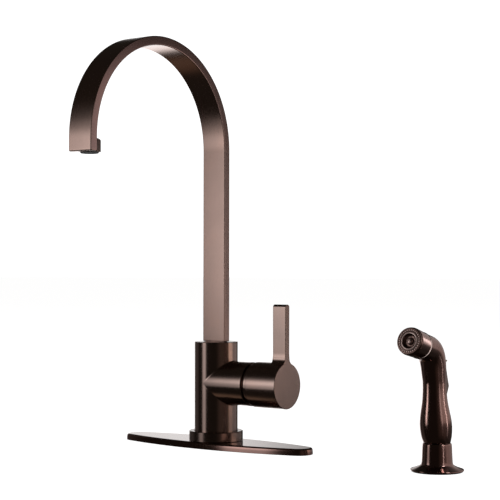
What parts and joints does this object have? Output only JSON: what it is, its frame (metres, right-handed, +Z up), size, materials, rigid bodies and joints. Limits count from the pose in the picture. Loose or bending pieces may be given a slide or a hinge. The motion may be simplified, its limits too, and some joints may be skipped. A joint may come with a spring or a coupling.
{
  "type": "side spray kitchen faucet",
  "caption": "Deck-mounted kitchen faucet: tall flat ribbon spout that swivels on a round valve body, side lever handle, long deck plate, and a pull-out side spray in its own holder.",
  "frame": {"origin": "on the top of the deck (sink rim or worktop), on the axis of the round valve body", "axes": "+Z up along the body; the spout reaches towards -Y, over the bowl; the handle and the side spray are at +X"},
  "size_m": [0.4345, 0.2457, 0.4906],
  "materials": {
    "bronze": "oil-rubbed bronze, satin, finely brushed",
    "bronze_gloss": "oil-rubbed bronze, glossy",
    "brass": "turned brass",
    "steel": "stainless steel",
    "rubber": "black rubber",
    "plastic_black": "moulded black plastic",
    "plastic_grey": "moulded grey plastic",
    "plastic_white": "moulded white plastic",
    "ceramic": "ground ceramic"
  },
  "bodies": {
    "root": {"deck_plate": "bronze_gloss", "deck_gasket": "rubber", "base_ring": "bronze", "valve_body": "bronze", "spout_retaining_screw": "steel", "mounting_shank": "brass", "deck_washer_rubber": "rubber", "deck_washer_steel": "steel", "mounting_nut": "brass", "diverter_cage": "plastic_white", "cartridge_housing": "plastic_white", "inlet_seal_hot": "rubber", "inlet_seal_cold": "rubber", "outlet_seal": "rubber", "disc_fixed": "ceramic", "bonnet_nut": "bronze", "holder_gasket": "rubber", "holder_flange": "bronze_gloss", "holder_guide": "plastic_black", "holder_washer": "rubber", "holder_nut": "plastic_grey"},
    "spout": {"spout_tube": "bronze", "spout_foot": "bronze", "spout_seal_lower": "rubber", "spout_seal_upper": "rubber", "aerator_housing": "bronze", "aerator_insert": "plastic_black", "aerator_washer": "rubber"},
    "diverter": {"diverter_plunger": "plastic_grey"},
    "mixer_carrier": {"stem_carrier": "plastic_grey", "stem_pin": "steel"},
    "disc_slider": {"disc_moving": "ceramic", "disc_driver": "plastic_black"},
    "handle": {"handle": "bronze", "handle_set_screw": "steel", "cartridge_stem": "brass"},
    "hose_end": {"hose_nipple": "brass", "nipple_washer": "rubber"},
    "handset": {"handset_body": "bronze_gloss", "spray_collar": "bronze_gloss", "spray_rim": "bronze_gloss", "spray_face": "bronze_gloss", "trigger_pin": "steel", "valve_spring": "steel"},
    "trigger": {"spray_trigger": "bronze_gloss"},
    "plunger": {"valve_plunger": "steel"}
  },
  "joints": [
    {"name": "spout_swivel", "type": "hinge", "parent": "root", "child": "spout", "pos_m": [0, 0, 0.1], "axis": [0, 0, 1], "continuous": true},
    {"name": "handle_turn", "type": "hinge", "parent": "root", "child": "mixer_carrier", "pos_m": [0.0533, 0, 0.0699], "axis": [1, 0, 0], "range_deg": [-45, 45]},
    {"name": "handle_tilt", "type": "hinge", "parent": "mixer_carrier", "child": "handle", "pos_m": [0.0533, 0, 0.0699], "axis": [0, 1, 0], "range_deg": [0, 13]},
    {"name": "disc_slide", "type": "slide", "parent": "mixer_carrier", "child": "disc_slider", "axis": [0, 0, 1], "range_m": [0, 0.0045]},
    {"name": "diverter_lift", "type": "slide", "parent": "root", "child": "diverter", "axis": [0, 0, 1], "range_m": [0, 0.0025]},
    {"name": "handset_lift", "type": "slide", "parent": "root", "child": "hose_end", "axis": [0, 0, 1], "range_m": [0, 0.06]},
    {"name": "handset_turn", "type": "hinge", "parent": "hose_end", "child": "handset", "pos_m": [0.2852, -0.0238, 0], "axis": [0, 0, 1], "continuous": true},
    {"name": "trigger_press", "type": "hinge", "parent": "handset", "child": "trigger", "pos_m": [0.2852, -0.0213, 0.1055], "axis": [-1, 0, 0], "range_deg": [0, 5], "stiffness_Nm_per_rad": 0.6, "springref_deg": -5.73},
    {"name": "plunger_slide", "type": "slide", "parent": "handset", "child": "plunger", "axis": [0, -1, 0], "range_m": [0, 0.0011], "deforming": ["valve_spring"]}
  ],
  "couplings": [
    {"joint": "disc_slide", "follows": "handle_tilt", "m_per_rad": 0.0189},
    {"joint": "plunger_slide", "follows": "trigger_press", "m_per_rad": 0.012}
  ]
}
